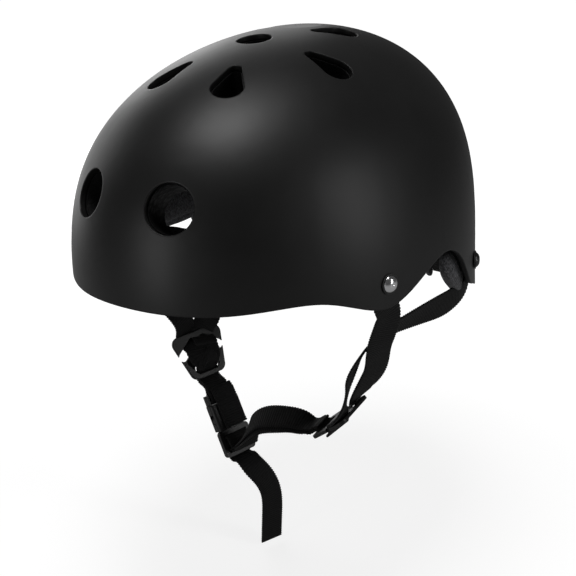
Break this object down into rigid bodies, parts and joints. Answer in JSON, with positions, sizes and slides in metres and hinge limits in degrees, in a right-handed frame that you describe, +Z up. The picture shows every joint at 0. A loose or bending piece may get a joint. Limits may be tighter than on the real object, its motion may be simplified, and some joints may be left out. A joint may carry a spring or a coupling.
{
  "type": "skateboard helmet",
  "caption": "Hard-shell skateboard helmet with foam liner, comfort pads, riveted webbing harness, strap dividers and a side release chin buckle.",
  "frame": {"origin": "middle of the head opening, at the height of the front rim, where the shell is widest", "axes": "+Z up toward the crown, -Y the way the wearer faces, +X toward the wearer's left"},
  "size_m": [0.2092, 0.2665, 0.3247],
  "materials": {
    "shell": "matte black moulded",
    "foam": "moulded bead foam",
    "pad_fabric": "grey heathered knit",
    "hook_tape": "hook tape",
    "webbing": "ribbed webbing",
    "hardware": "satin black",
    "rivet_chrome": "polished",
    "rivet_black": "black",
    "washer_steel": "plain"
  },
  "bodies": {
    "helmet": {"outer_shell": "shell", "foam_liner": "foam", "front_pad": "pad_fabric", "rear_pad": "pad_fabric", "side_pad_left": "pad_fabric", "side_pad_right": "pad_fabric", "crown_pad": "pad_fabric", "hook_patches": "hook_tape", "rear_strap_left": "webbing", "rivet_front_left": "rivet_chrome", "rivet_rear_left": "rivet_black", "trim_washer_front_left": "hardware", "backing_washer_front_left": "washer_steel", "trim_washer_rear_left": "hardware", "backing_washer_rear_left": "washer_steel", "rear_strap_right": "webbing", "rivet_front_right": "rivet_chrome", "rivet_rear_right": "rivet_black", "trim_washer_front_right": "hardware", "backing_washer_front_right": "washer_steel", "trim_washer_rear_right": "hardware", "backing_washer_rear_right": "washer_steel"},
    "harness": {"front_strap_left": "webbing", "front_strap_right": "webbing", "chin_strap": "webbing", "buckle_strap": "webbing", "buckle_socket": "hardware"},
    "divider_left": {"divider_left": "hardware"},
    "divider_right": {"divider_right": "hardware"},
    "plug": {"buckle_plug": "hardware", "strap_tail": "webbing"},
    "arm_front": {"latch_arm_front": "hardware"},
    "arm_rear": {"latch_arm_rear": "hardware"}
  },
  "joints": [
    {"name": "harness_swing", "type": "hinge", "parent": "helmet", "child": "harness", "pos_m": [0, -0.0463, 0.0017], "axis": [1, 0, 0], "range_deg": [0, 25], "deforming": ["rear_strap_left", "rear_strap_right", "front_strap_left", "front_strap_right"]},
    {"name": "divider_left_slide", "type": "slide", "parent": "harness", "child": "divider_left", "axis": [-0.7511, -0.1104, -0.6509], "range_m": [0, 0.012], "deforming": ["chin_strap", "front_strap_left", "rear_strap_left"]},
    {"name": "divider_right_slide", "type": "slide", "parent": "harness", "child": "divider_right", "axis": [0.4568, -0.0449, -0.8884], "range_m": [0, 0.006], "deforming": ["buckle_strap", "front_strap_right", "rear_strap_right"]},
    {"name": "buckle_release", "type": "slide", "parent": "harness", "child": "plug", "axis": [0.4632, -0.0469, -0.885], "range_m": [0, 0.03], "deforming": ["chin_strap", "latch_arm_front", "latch_arm_rear"]},
    {"name": "latch_front", "type": "hinge", "parent": "plug", "child": "arm_front", "pos_m": [-0.03051, -0.03452, -0.12844], "axis": [-0.8499, 0.2595, -0.4586], "range_deg": [0, 8], "deforming": ["latch_arm_front"]},
    {"name": "latch_rear", "type": "hinge", "parent": "plug", "child": "arm_rear", "pos_m": [-0.02649, -0.01908, -0.12716], "axis": [0.8499, -0.2595, 0.4586], "range_deg": [0, 8], "deforming": ["latch_arm_rear"]}
  ],
  "couplings": [
    {"joint": "latch_rear", "follows": "latch_front", "ratio": 1}
  ]
}
